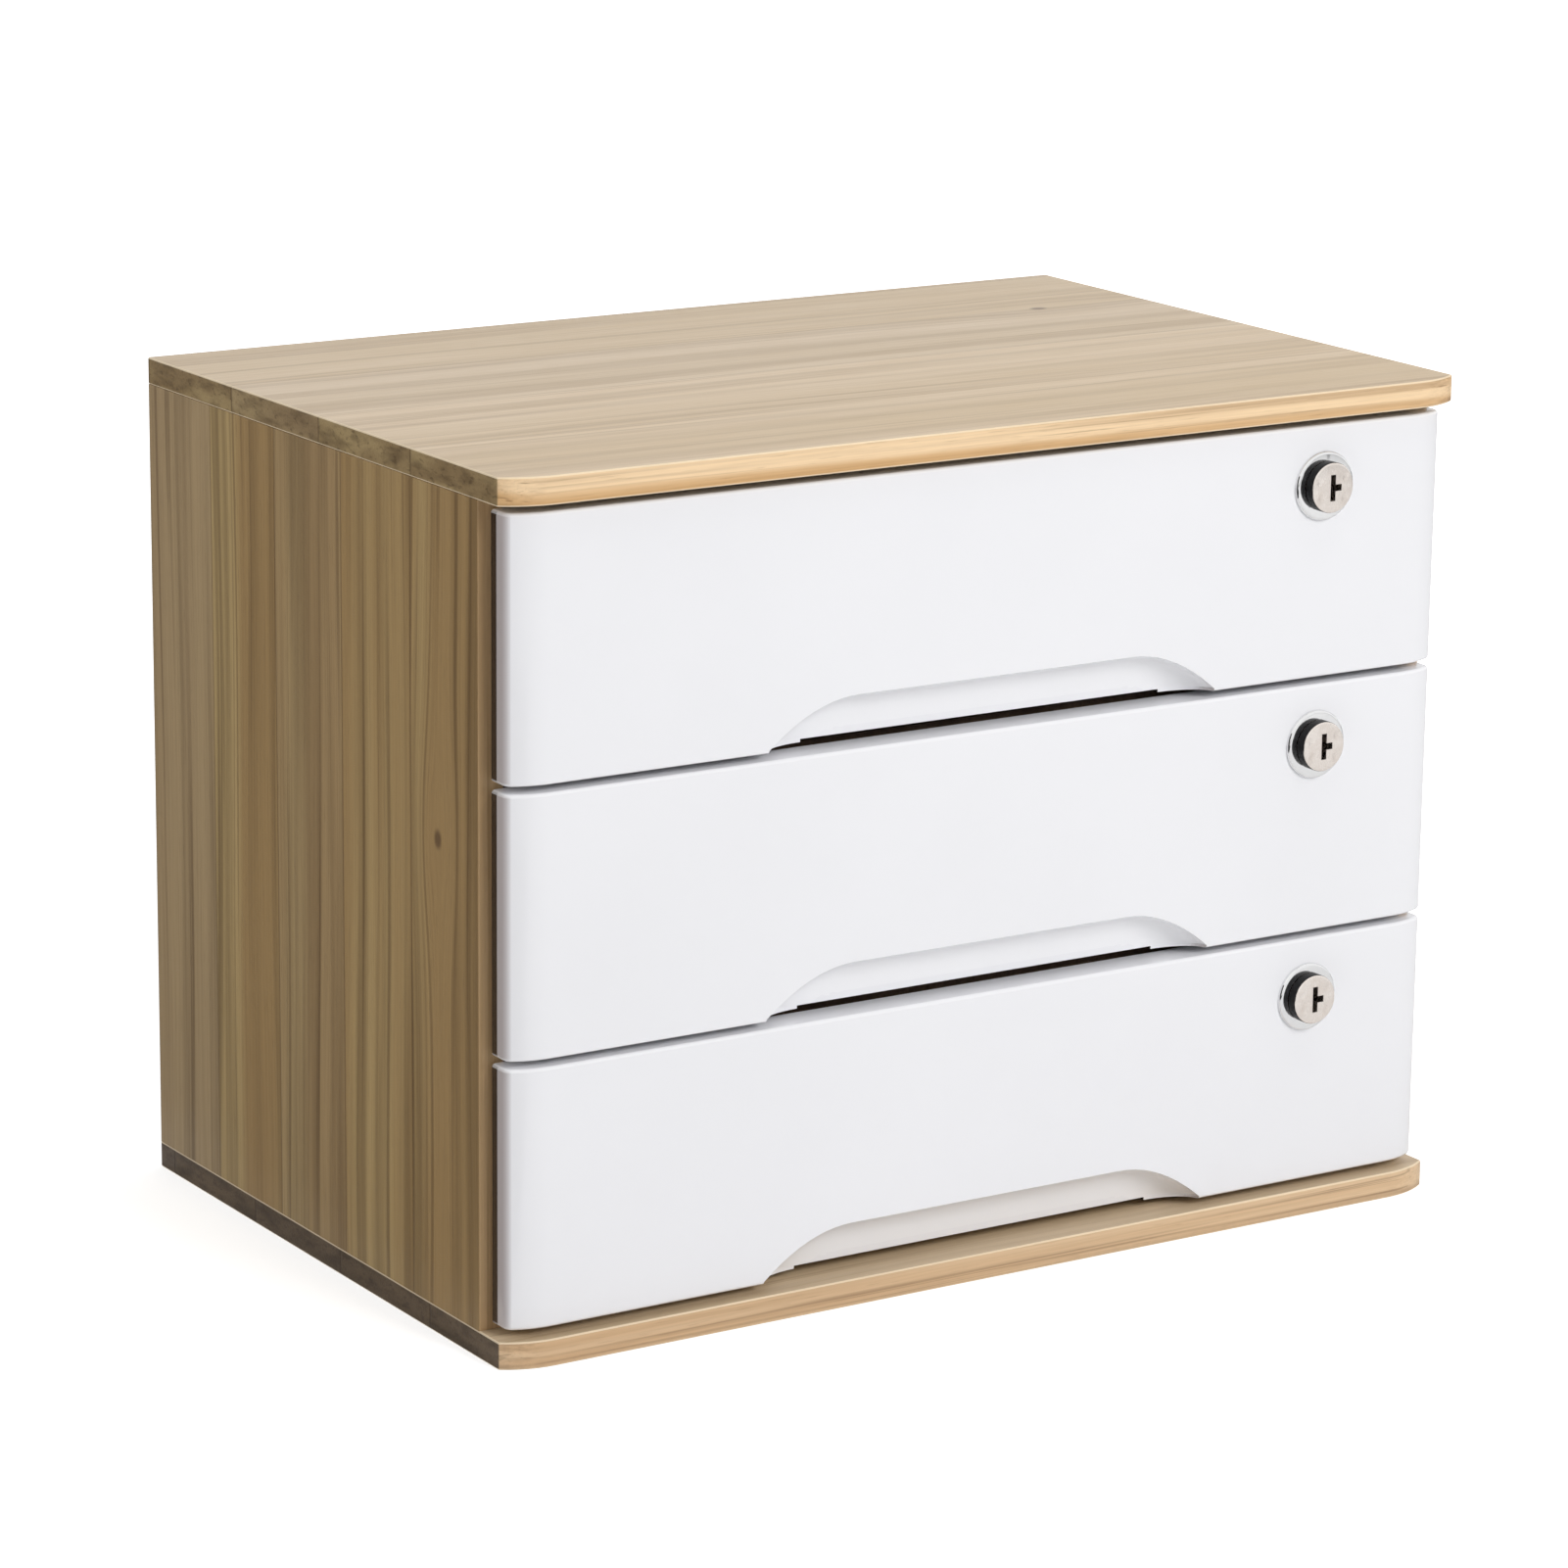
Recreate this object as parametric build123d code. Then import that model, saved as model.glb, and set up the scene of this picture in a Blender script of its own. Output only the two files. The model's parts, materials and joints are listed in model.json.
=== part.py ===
from build123d import *
import math
import os

# Desktop file drawer: a small wooden cabinet with bowed top and bottom boards and three drawers, each with a
# moulded white front, a finger scoop and a cam lock. Millimetres, +Z up, X to the right as seen from the front,
# and -Y towards the user. The origin is under the middle of the whole piece, on the surface that it stands on.

# ---- driving sizes: cabinet ----------------------------------------------------------------------------------
CABINET_WIDTH = 360.0        # over the side boards
BOARD_DEPTH = 240.0          # top and bottom boards, front to back
BOARD_THICKNESS = 9.0
BOARD_LEAD = 17.5            # top and bottom boards reach this far ahead of the side boards
CORNER_RADIUS = 30.0         # plan radius that turns each board end into its front edge
CORNER_SETBACK = 5.5         # how far that curve carries the board's end back from its front edge
EDGE_EASE = 0.6              # sanded edges of every board
SHELF_THICKNESS = 5.0
SHELF_GROOVE = 3.0           # how deep a shelf enters each side board
SHELF_SETBACK = 4.5          # shelf's front edge behind the side boards' front edge
BACK_THICKNESS = 3.0
BACK_LAP = 4.0               # how far the back panel lies in the rebates of the boards around it
BRAD_RADIUS = 0.6            # nails that hold the back panel in its rebates
BRAD_HEAD_RADIUS = 1.3
BRAD_HEAD = 0.6
BRAD_LENGTH = 13.0
BRAD_COLUMNS = 5             # along the top and bottom boards
BRAD_ROWS = 3                # along each side board, between the corners
BRAD_END = 20.0              # first and last brad of the long rows from the side boards
SMALL_SIDES = 12             # sides that stand for the roundness of small repeated fasteners
DOWEL_RADIUS = 3.0
DOWEL_IN_PLATE = 6.0         # hole depth in the top and bottom boards
DOWEL_IN_SIDE = 16.0         # hole depth in the ends of the side boards
DOWEL_END_GAP = 0.5          # glue space at each end of a dowel
DOWEL_COUNT = 3              # in each corner joint
DOWEL_EDGE = 28.0            # first and last dowel from the side board's edges

# ---- driving sizes: drawer fronts ----------------------------------------------------------------------------
LEVELS = ("bottom", "middle", "top")
FRONT_HEIGHT = 84.0
FRONT_GAP = 2.4              # between neighbouring fronts
END_GAP = 2.6                # between the outer fronts and the boards
FRONT_INSET = 3.5            # fronts' ends inside the cabinet's sides
FRONT_REVEAL = 3.3           # fronts' faces behind the boards' front edges
FRONT_STANDOFF = 2.2         # fronts' backs ahead of the side boards
FRONT_END_BLEND = 3.5        # plan radius where a front's end meets its curve
FRONT_EDGE_ROUND = 1.2
FRONT_SKIN = 2.6
RIB_THICKNESS = 2.0
POCKET_COLUMNS = 10
POCKET_END_MARGIN = 15.5     # from the front's ends to the outer pockets
SCOOP_FLAT = 104.0           # level stretch of the finger scoop's upper edge
SCOOP_SWEEP = 33.0           # run of each curved end at the face
SCOOP_END_DEEP = 16.5        # the same run at full depth
SCOOP_HEIGHT = 14.2
SCOOP_DEPTH = 8.5
SCOOP_LIFT = 1.0             # front's lower edge behind the scoop, above the rest of it

# ---- driving sizes: trays ------------------------------------------------------------------------------------
TRAY_SIDE_CLEARANCE = 1.0
TRAY_REAR_CLEARANCE = 2.5
TRAY_RUN_CLEARANCE = 0.3     # under the glide ribs
TRAY_WALL = 2.2
TRAY_FRONT_WALL = 2.6
TRAY_FLOOR = 2.4
TRAY_DRAFT = 1.5             # each wall leans in by this much at the floor
TRAY_FRONT_CORNER = 3.0
TRAY_REAR_CORNER = 12.0
TRAY_FLOOR_ROUND = 2.0
TRAY_TOP_CLEARANCE = 2.4     # above the tray's front wall
RIM_WIDTH = 1.2
RIM_HEIGHT = 3.0
GLIDE_WIDTH = 4.0
GLIDE_HEIGHT = 3.4           # lifts the tray's floor past the scoop's lower edge
GLIDE_SHARES = (-0.88, -0.35, 0.35, 0.88)    # places along the tray's half width
GLIDE_END_MARGIN = 19.0      # from each glide's ends to the tray's ends

# ---- driving sizes: locks and strikes ------------------------------------------------------------------------
LOCK_FROM_END = 50.0         # lock axis from the front's right end
LOCK_FROM_TOP = 20.0         # lock axis below the front's upper edge
HEAD_RADIUS = 11.5
HEAD_THICKNESS = 1.5
HEAD_ROUND = 1.1
BODY_RADIUS = 9.2
BODY_FLATS = 16.0            # across the two flats that keep the housing from turning
HOLE_CLEARANCE = 0.15
NUT_ACROSS_FLATS = 21.0
NUT_THICKNESS = 3.5
NUT_CLEARANCE = 0.05
HOUSING_PAST_NUT = 0.8
NOSE_RADIUS = 8.35
NOSE_LENGTH = 3.5
NOSE_GAP = 0.3               # between the plug's nose and the housing's head
NOSE_ROUND = 0.7
BARREL_RADIUS = 6.0
BARREL_CLEARANCE = 0.05
TAIL_RADIUS = 4.9
TANG_SIDE = 6.2
KEYWAY_HEIGHT = 8.7
KEYWAY_WIDTH = 2.0
KEYWAY_DEPTH = 14.0
WARD_REACH = 3.4             # side notch of the keyway, from the plug's axis
WARD_HEIGHT = 2.2
CAM_REACH = 13.0
CAM_HUB_RADIUS = 6.0
CAM_ARM_WIDTH = 10.0
CAM_THICKNESS = 2.0
CAM_PASS = 1.0               # level cam and strike, one under the other
CAM_AXIAL_GAP = 1.0          # strike flange to housing, and to cam
CAM_SCREW_RADIUS = 1.6
CAM_SCREW_LENGTH = 6.0
CAM_SCREW_HEAD_RADIUS = 4.2
CAM_SCREW_HEAD = 1.8
CAM_SCREW_SLOT = 1.1
STRIKE_THICKNESS = 1.2
STRIKE_WIDTH = 30.0
STRIKE_LEG = 20.0
STRIKE_SCREW_SPACING = 18.0
STRIKE_SCREW_RADIUS = 1.4
STRIKE_SCREW_LENGTH = 3.6
STRIKE_HEAD_RADIUS = 2.8
STRIKE_HEAD_HEIGHT = 1.4
TRAY_PASS = 1.2              # tray rim under the strike flange

# ---- driving sizes: screws that hold each front to its tray --------------------------------------------------
SCREW_RADIUS = 1.5
SCREW_HEAD_RADIUS = 3.4
SCREW_HEAD = 2.0
SCREW_GRIP = 7.0             # depth of the hole in the front's boss
SCREW_TIP_SPACE = 0.5        # left free at the end of a blind hole
SCREW_HOLE_CLEARANCE = 0.3
SCREW_FROM_END = 21.5        # from the front's ends
SCREW_HEIGHTS = (20.0, 60.0)
BOSS_RADIUS = 4.0
LOCK_BOSS_RADIUS = 13.0

# ---- places worked out from them -----------------------------------------------------------------------------
NOSE_LEAD = HEAD_THICKNESS + NOSE_GAP + NOSE_LENGTH - FRONT_REVEAL    # noses ahead of the boards
HALF_WIDTH = CABINET_WIDTH / 2
REAR_Y = (BOARD_DEPTH + NOSE_LEAD) / 2
BOARD_FRONT_Y = REAR_Y - BOARD_DEPTH
SIDE_FRONT_Y = BOARD_FRONT_Y + BOARD_LEAD
CORNER_CENTRE_X = HALF_WIDTH - math.sqrt(CORNER_RADIUS ** 2 - (CORNER_RADIUS - CORNER_SETBACK) ** 2)
CORNER_CENTRE_Y = BOARD_FRONT_Y + CORNER_RADIUS
INNER_HALF_WIDTH = HALF_WIDTH - BOARD_THICKNESS
PITCH = FRONT_HEIGHT + FRONT_GAP
FRONTS_HEIGHT = len(LEVELS) * PITCH - FRONT_GAP
CABINET_HEIGHT = 2 * (BOARD_THICKNESS + END_GAP) + FRONTS_HEIGHT
SIDE_HEIGHT = CABINET_HEIGHT - 2 * BOARD_THICKNESS
BACK_FRONT_Y = REAR_Y - BACK_THICKNESS
SHELF_FRONT_Y = SIDE_FRONT_Y + SHELF_SETBACK

FACE_Y = BOARD_FRONT_Y + FRONT_REVEAL                # drawer fronts' faces
FRONT_BACK_Y = SIDE_FRONT_Y - FRONT_STANDOFF
FRONT_HALF_WIDTH = HALF_WIDTH - FRONT_INSET
FRONT_CORNER_RADIUS = CORNER_RADIUS - FRONT_REVEAL   # concentric with the boards' corners

# Heights in a drawer are measured from its front's lower edge.
DRAWER_FLOOR_Z = -END_GAP
SHELF_UNDER_Z = PITCH - END_GAP - SHELF_THICKNESS
LOCK_X = FRONT_HALF_WIDTH - LOCK_FROM_END
LOCK_Z = FRONT_HEIGHT - LOCK_FROM_TOP
STRIKE_LOW_Z = LOCK_Z + CAM_HUB_RADIUS + CAM_PASS
TRAY_LOW_Z = DRAWER_FLOOR_Z + TRAY_RUN_CLEARANCE + GLIDE_HEIGHT
TRAY_RIM_Z = STRIKE_LOW_Z - TRAY_PASS
TRAY_FRONT_TOP_Z = SHELF_UNDER_Z - TRAY_TOP_CLEARANCE
TRAY_HALF_WIDTH = INNER_HALF_WIDTH - TRAY_SIDE_CLEARANCE
TRAY_REAR_Y = BACK_FRONT_Y - TRAY_REAR_CLEARANCE
TRAY_INSIDE_Y = FRONT_BACK_Y + TRAY_FRONT_WALL

NUT_REAR_Y = TRAY_INSIDE_Y + NUT_THICKNESS
HOUSING_REAR_Y = NUT_REAR_Y + HOUSING_PAST_NUT
STRIKE_Y = HOUSING_REAR_Y + CAM_AXIAL_GAP
CAM_Y = STRIKE_Y + STRIKE_THICKNESS + CAM_AXIAL_GAP
CAM_REAR_Y = CAM_Y + CAM_THICKNESS
HEAD_FRONT_Y = FACE_Y - HEAD_THICKNESS
NOSE_REAR_Y = HEAD_FRONT_Y - NOSE_GAP
NOSE_FRONT_Y = NOSE_REAR_Y - NOSE_LENGTH


def drawer_z(index):
    """Height of a drawer's zero, its front's lower edge, above the ground."""
    return BOARD_THICKNESS + END_GAP + index * PITCH


def box(low, high):
    """Box between two opposite corners."""
    size = [b - a for a, b in zip(low, high)]
    middle = [(a + b) / 2 for a, b in zip(low, high)]
    return Pos(*middle) * Box(*size)


def rod(radius, y_from, y_to, x=0.0, z=0.0):
    """Cylinder along Y."""
    return Pos(x, (y_from + y_to) / 2, z) * Rot(90, 0, 0) * Cylinder(radius, y_to - y_from)


def elevation(sketch, y):
    """Places a sketch drawn in X and Z, as seen from the front, in the plane at y."""
    return Plane(origin=(0, y, 0), x_dir=(1, 0, 0), z_dir=(0, -1, 0)) * sketch


def small_rod(radius, y_from, y_to, x, z):
    """Many-sided prism along Y, for the shanks and heads of small fasteners."""
    outline = Pos(x, z) * RegularPolygon(radius, SMALL_SIDES)
    return extrude(elevation(outline, y_to), y_to - y_from)


# ---- cabinet -------------------------------------------------------------------------------------------------
def bowed_plan(half_width, front_y, radius, rear_y):
    """Plan with straight ends that turn into a straight front through arcs about the shared corner centres."""
    end_x = half_width - CORNER_CENTRE_X
    end_y = CORNER_CENTRE_Y - math.sqrt(radius ** 2 - end_x ** 2)
    half_turn = math.asin(end_x / radius) / 2
    mid_x = CORNER_CENTRE_X + radius * math.sin(half_turn)
    mid_y = CORNER_CENTRE_Y - radius * math.cos(half_turn)
    right = [
        Line((CORNER_CENTRE_X, front_y), (0, front_y)),
        ThreePointArc((CORNER_CENTRE_X, front_y), (mid_x, mid_y), (half_width, end_y)),
        Line((half_width, end_y), (half_width, rear_y)),
        Line((half_width, rear_y), (0, rear_y)),
    ]
    left = [mirror(edge, about=Plane.YZ) for edge in right]
    return make_face([edge for piece in right + left for edge in piece.edges()])


def dowel_places():
    """X and Y of every dowel in one plate."""
    first = SIDE_FRONT_Y + DOWEL_EDGE
    step = (REAR_Y - DOWEL_EDGE - first) / (DOWEL_COUNT - 1)
    side_x = HALF_WIDTH - BOARD_THICKNESS / 2
    return [(side * side_x, first + step * n) for side in (-1, 1) for n in range(DOWEL_COUNT)]


def back_space():
    """The back panel's block, which is also the rebate around it."""
    reach = INNER_HALF_WIDTH + BACK_LAP
    low = BOARD_THICKNESS - BACK_LAP
    return box((-reach, BACK_FRONT_Y, low), (reach, REAR_Y, CABINET_HEIGHT - low))


def brad_places():
    """X and Z of the brads, along the middle of the rebates."""
    low = BOARD_THICKNESS - BACK_LAP / 2
    high = CABINET_HEIGHT - low
    side = INNER_HALF_WIDTH + BACK_LAP / 2
    first = BRAD_END - INNER_HALF_WIDTH
    step = -2 * first / (BRAD_COLUMNS - 1)
    rows = [(first + step * n, z) for n in range(BRAD_COLUMNS) for z in (low, high)]
    rise = (high - low) / (BRAD_ROWS + 1)
    return rows + [(x, low + rise * (n + 1)) for n in range(BRAD_ROWS) for x in (-side, side)]


def brads():
    """The nails of the back panel, heads flush with its rear face."""
    nails = []
    for x, z in brad_places():
        shank = small_rod(BRAD_RADIUS, REAR_Y - BRAD_LENGTH, REAR_Y - BRAD_HEAD, x, z)
        nails.append(shank + small_rod(BRAD_HEAD_RADIUS, REAR_Y - BRAD_HEAD, REAR_Y, x, z))
    return nails


def nailed(board, near):
    """A board with holes for the brads that near picks."""
    for nail, (x, z) in zip(brads(), brad_places()):
        if near(x, z):
            board -= nail
    return board


def plate(low_z, inner_z, inward):
    """Top or bottom board, eased all round, grooved for the back panel and bored for its dowels."""
    plan = bowed_plan(HALF_WIDTH, BOARD_FRONT_Y, CORNER_RADIUS, REAR_Y)
    board = fillet(extrude(plan, BOARD_THICKNESS).edges(), EDGE_EASE)
    board = Pos(0, 0, low_z) * board - back_space()
    for x, y in dowel_places():
        centre_z = inner_z - inward * DOWEL_IN_PLATE / 2
        board -= Pos(x, y, centre_z) * Cylinder(DOWEL_RADIUS, DOWEL_IN_PLATE)
    return nailed(board, lambda x, z: abs(z - inner_z) < BOARD_THICKNESS)


def side_board(side):
    """Upright board between the two plates, grooved for the shelves and the back panel."""
    low = (0, SIDE_FRONT_Y, BOARD_THICKNESS)
    high = (BOARD_THICKNESS, REAR_Y, CABINET_HEIGHT - BOARD_THICKNESS)
    board = box(low, high)
    board = fillet(board.edges().filter_by(Axis.Z), EDGE_EASE)
    board = Pos(-BOARD_THICKNESS / 2, 0, 0) * board
    board = Pos(side * (HALF_WIDTH - BOARD_THICKNESS / 2), 0, 0) * board
    board -= back_space()
    for index in range(1, len(LEVELS)):
        board -= shelf(index)
    for x, y in dowel_places():
        if x * side > 0:
            for end_z, inward in ((low[2], 1), (high[2], -1)):
                board -= Pos(x, y, end_z + inward * DOWEL_IN_SIDE / 2) * Cylinder(DOWEL_RADIUS, DOWEL_IN_SIDE)
    return nailed(board, lambda x, z: x * side > INNER_HALF_WIDTH)


def shelf(index):
    """Thin shelf that carries the drawer at this level."""
    top_z = drawer_z(index) + DRAWER_FLOOR_Z
    reach = INNER_HALF_WIDTH + SHELF_GROOVE
    return box((-reach, SHELF_FRONT_Y, top_z - SHELF_THICKNESS), (reach, BACK_FRONT_Y, top_z))


def cabinet_dowels():
    """The dowels of the four corner joints."""
    length = DOWEL_IN_PLATE + DOWEL_IN_SIDE - 2 * DOWEL_END_GAP
    reach_in_side = DOWEL_IN_SIDE - DOWEL_END_GAP
    dowels = []
    for x, y in dowel_places():
        for joint_z, inward in ((BOARD_THICKNESS, 1), (CABINET_HEIGHT - BOARD_THICKNESS, -1)):
            centre_z = joint_z + inward * (reach_in_side - length / 2)
            dowels.append(Pos(x, y, centre_z) * Cylinder(DOWEL_RADIUS, length))
    return Compound(dowels)


# ---- strikes that the lock cams catch behind -----------------------------------------------------------------
def strike_seat_z(index):
    """Underside that a strike is screwed to: the next shelf, or the top board over the top drawer."""
    if index < len(LEVELS) - 1:
        return drawer_z(index) + SHELF_UNDER_Z
    return CABINET_HEIGHT - BOARD_THICKNESS


def strike_screw_places():
    """X and Y of the two screws of a strike."""
    y = STRIKE_Y + STRIKE_LEG * 0.6
    return [(LOCK_X - STRIKE_SCREW_SPACING / 2, y), (LOCK_X + STRIKE_SCREW_SPACING / 2, y)]


def strike_screw(seat_z):
    """Countersunk screw, pointing up into the board, with its head flush under the strike's leg."""
    under_z = seat_z - STRIKE_THICKNESS
    neck_z = under_z + STRIKE_THICKNESS
    outline = Polyline((0, under_z), (STRIKE_HEAD_RADIUS, under_z), (STRIKE_SCREW_RADIUS, neck_z),
                       (STRIKE_SCREW_RADIUS, neck_z + STRIKE_SCREW_LENGTH - STRIKE_SCREW_RADIUS),
                       (0, neck_z + STRIKE_SCREW_LENGTH), close=True)
    return revolve(Plane.XZ * make_face(outline), axis=Axis.Z)


def strike_plate(index):
    """Bent steel angle under the board above a drawer."""
    seat_z = strike_seat_z(index)
    low_z = drawer_z(index) + STRIKE_LOW_Z
    half = STRIKE_WIDTH / 2
    rear_y = STRIKE_Y + STRIKE_LEG
    leg = box((LOCK_X - half, STRIKE_Y, seat_z - STRIKE_THICKNESS), (LOCK_X + half, rear_y, seat_z))
    leg = fillet(leg.edges().filter_by(Axis.Z).group_by(Axis.Y)[-1], half / 4)
    flange = box((LOCK_X - half, STRIKE_Y, low_z), (LOCK_X + half, STRIKE_Y + STRIKE_THICKNESS, seat_z))
    flange = fillet(flange.edges().filter_by(Axis.Y).group_by(Axis.Z)[0], STRIKE_THICKNESS)
    plate_ = leg + flange
    bend = plate_.edges().filter_by(Axis.X).group_by(Axis.Z)[-1].group_by(Axis.Y)[0]
    plate_ = fillet(bend, STRIKE_THICKNESS * 0.8)
    for x, y in strike_screw_places():
        plate_ -= Pos(x, y, 0) * strike_screw(seat_z)
    return plate_


def strike_screws():
    """All the strikes' screws."""
    screws = []
    for index in range(len(LEVELS)):
        for x, y in strike_screw_places():
            screws.append(Pos(x, y, 0) * strike_screw(strike_seat_z(index)))
    return Compound(screws)


def bored_for_strikes(board, index):
    """A shelf or the top board, bored for the screws of the strike under it."""
    for x, y in strike_screw_places():
        board -= Pos(x, y, 0) * strike_screw(strike_seat_z(index))
    return board


# ---- drawer front --------------------------------------------------------------------------------------------
def scoop_cutter():
    """Finger scoop: a cove of elliptical section whose ends sweep down to the front's lower edge.

    Each end is one patch, a parabola across the face and a quarter ellipse into the depth.
    """
    flat = SCOOP_FLAT / 2
    round_weight = math.sqrt(0.5)
    deep_y = FACE_Y + SCOOP_DEPTH
    # Rows run from the face to full depth: (y, share of the height, run of the end).
    rows = ((FACE_Y, 1.0, SCOOP_SWEEP), (deep_y, 1.0, SCOOP_SWEEP), (deep_y, 0.0, SCOOP_END_DEEP))
    weights = [1.0, round_weight, 1.0]

    def edge_point(side, along, row):
        """Control point of an end, for along 0 at the level stretch, 1 at the corner and 2 at the lower edge."""
        y, share, run = row
        height = 0.0 if along == 2 else SCOOP_HEIGHT * share
        return (side * (flat + run * along / 2), y, SCOOP_LIFT + height)

    faces = []
    for side in (-1, 1):
        grid = [[edge_point(side, along, row) for row in rows] for along in range(3)]
        faces.append(Face.make_bezier_surface(grid, [weights] * 3))
    grid = [[edge_point(side, 0, row) for row in rows] for side in (-1, 1)]
    faces.append(Face.make_bezier_surface(grid, [weights] * 2))

    def face_edge(side):
        return Bezier(*[edge_point(side, along, rows[0]) for along in range(3)])

    def floor_edge(side):
        return Bezier(*[edge_point(side, 2, row) for row in rows], weights=weights)

    corners = [edge_point(side, 2, rows[0]) for side in (-1, 1)]
    tops = [edge_point(side, 0, rows[0]) for side in (-1, 1)]
    mouth = make_face([face_edge(-1).edge(), face_edge(1).edge(), Line(*corners).edge(), Line(*tops).edge()])
    rear = [edge_point(-1, 2, rows[2]), edge_point(-1, 0, rows[2]), edge_point(1, 0, rows[2]), edge_point(1, 2, rows[2])]
    rear_edges = [Line(a, b).edge() for a, b in zip(rear, rear[1:])]
    floor = make_face([floor_edge(-1).edge(), floor_edge(1).edge(), Line(*corners).edge()] + rear_edges)
    cove = Solid(Shell(faces + [mouth.face(), floor.face()]))
    below = extrude(floor.face(), SCOOP_LIFT + 1, dir=(0, 0, -1))
    reach = flat + SCOOP_END_DEEP
    lift = box((-reach, deep_y - 0.01, -1), (reach, FRONT_BACK_Y + 1, SCOOP_LIFT))
    ahead = extrude(mouth.face(), 1, dir=(0, -1, 0))
    return cove + below + ahead + lift


def double_d(radius, across):
    """Round with two level flats, as seen from the front."""
    return Circle(radius) & Rectangle(2 * radius, across)


def lock_hole(y_from, y_to):
    """Hole for the lock housing."""
    shape = double_d(BODY_RADIUS + HOLE_CLEARANCE, BODY_FLATS + 2 * HOLE_CLEARANCE)
    return extrude(elevation(Pos(LOCK_X, LOCK_Z) * shape, y_to), y_to - y_from)


def screw_places():
    """X and Z of the screws between a front and its tray."""
    reach = FRONT_HALF_WIDTH - SCREW_FROM_END
    return [(side * reach, z) for side in (-1, 1) for z in SCREW_HEIGHTS]


def front_pockets():
    """Moulding pockets in a front's back, between ribs and clear of the scoop."""
    reach = FRONT_HALF_WIDTH - POCKET_END_MARGIN
    width = 2 * reach / POCKET_COLUMNS
    low_z = SCOOP_LIFT + SCOOP_HEIGHT + 2 * FRONT_SKIN
    high_z = TRAY_FRONT_TOP_Z - RIB_THICKNESS
    middle_z = (low_z + high_z) / 2
    rows = [(FRONT_SKIN, low_z - RIB_THICKNESS), (low_z, middle_z - RIB_THICKNESS / 2),
            (middle_z + RIB_THICKNESS / 2, high_z)]
    scoop_reach = SCOOP_FLAT / 2 + SCOOP_SWEEP + FRONT_SKIN
    pockets = []
    for column in range(POCKET_COLUMNS):
        x0 = -reach + column * width + RIB_THICKNESS / 2
        x1 = x0 + width - RIB_THICKNESS
        for row, (z0, z1) in enumerate(rows):
            if row == 0 and min(abs(x0), abs(x1)) < scoop_reach:
                continue
            pockets.append(box((x0, FACE_Y + FRONT_SKIN, z0), (x1, FRONT_BACK_Y + 1, z1)))
    return pockets


def drawer_front():
    """Moulded front with curved ends, finger scoop, ribbed back and bosses."""
    plan = bowed_plan(FRONT_HALF_WIDTH, FACE_Y, FRONT_CORNER_RADIUS, FRONT_BACK_Y)
    ends = [v for v in plan.vertices() if abs(abs(v.X) - FRONT_HALF_WIDTH) < 0.01 and v.Y < FRONT_BACK_Y - 0.01]
    plan = fillet(ends, FRONT_END_BLEND)
    panel = extrude(plan, FRONT_HEIGHT)
    rims = [e for e in panel.edges() if abs(e.center().Z - FRONT_HEIGHT / 2) > 1 and e.center().Y < FRONT_BACK_Y - 0.01]
    panel = fillet(rims, FRONT_EDGE_ROUND)
    panel -= front_pockets()
    for x, z in screw_places():
        panel += rod(BOSS_RADIUS, FACE_Y + FRONT_SKIN / 2, FRONT_BACK_Y, x, z)
    panel += rod(LOCK_BOSS_RADIUS, FACE_Y + FRONT_SKIN / 2, FRONT_BACK_Y, LOCK_X, LOCK_Z)
    panel -= scoop_cutter()
    panel -= lock_hole(FACE_Y - 1, FRONT_BACK_Y + 1)
    for x, z in screw_places():
        panel -= small_rod(SCREW_RADIUS, FRONT_BACK_Y - SCREW_GRIP, FRONT_BACK_Y + 1, x, z)
    return panel


# ---- drawer tray ---------------------------------------------------------------------------------------------
def tray_plan(half_width, front_y, rear_y, front_corner, rear_corner):
    """Rectangle with rounded corners, larger ones at the rear."""
    outline = Pos(0, (front_y + rear_y) / 2) * Rectangle(2 * half_width, rear_y - front_y)
    corners = outline.vertices().group_by(Axis.Y)
    outline = fillet(corners[-1], rear_corner)
    if front_corner > 0:
        outline = fillet(outline.vertices().group_by(Axis.Y)[0], front_corner)
    return outline


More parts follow.
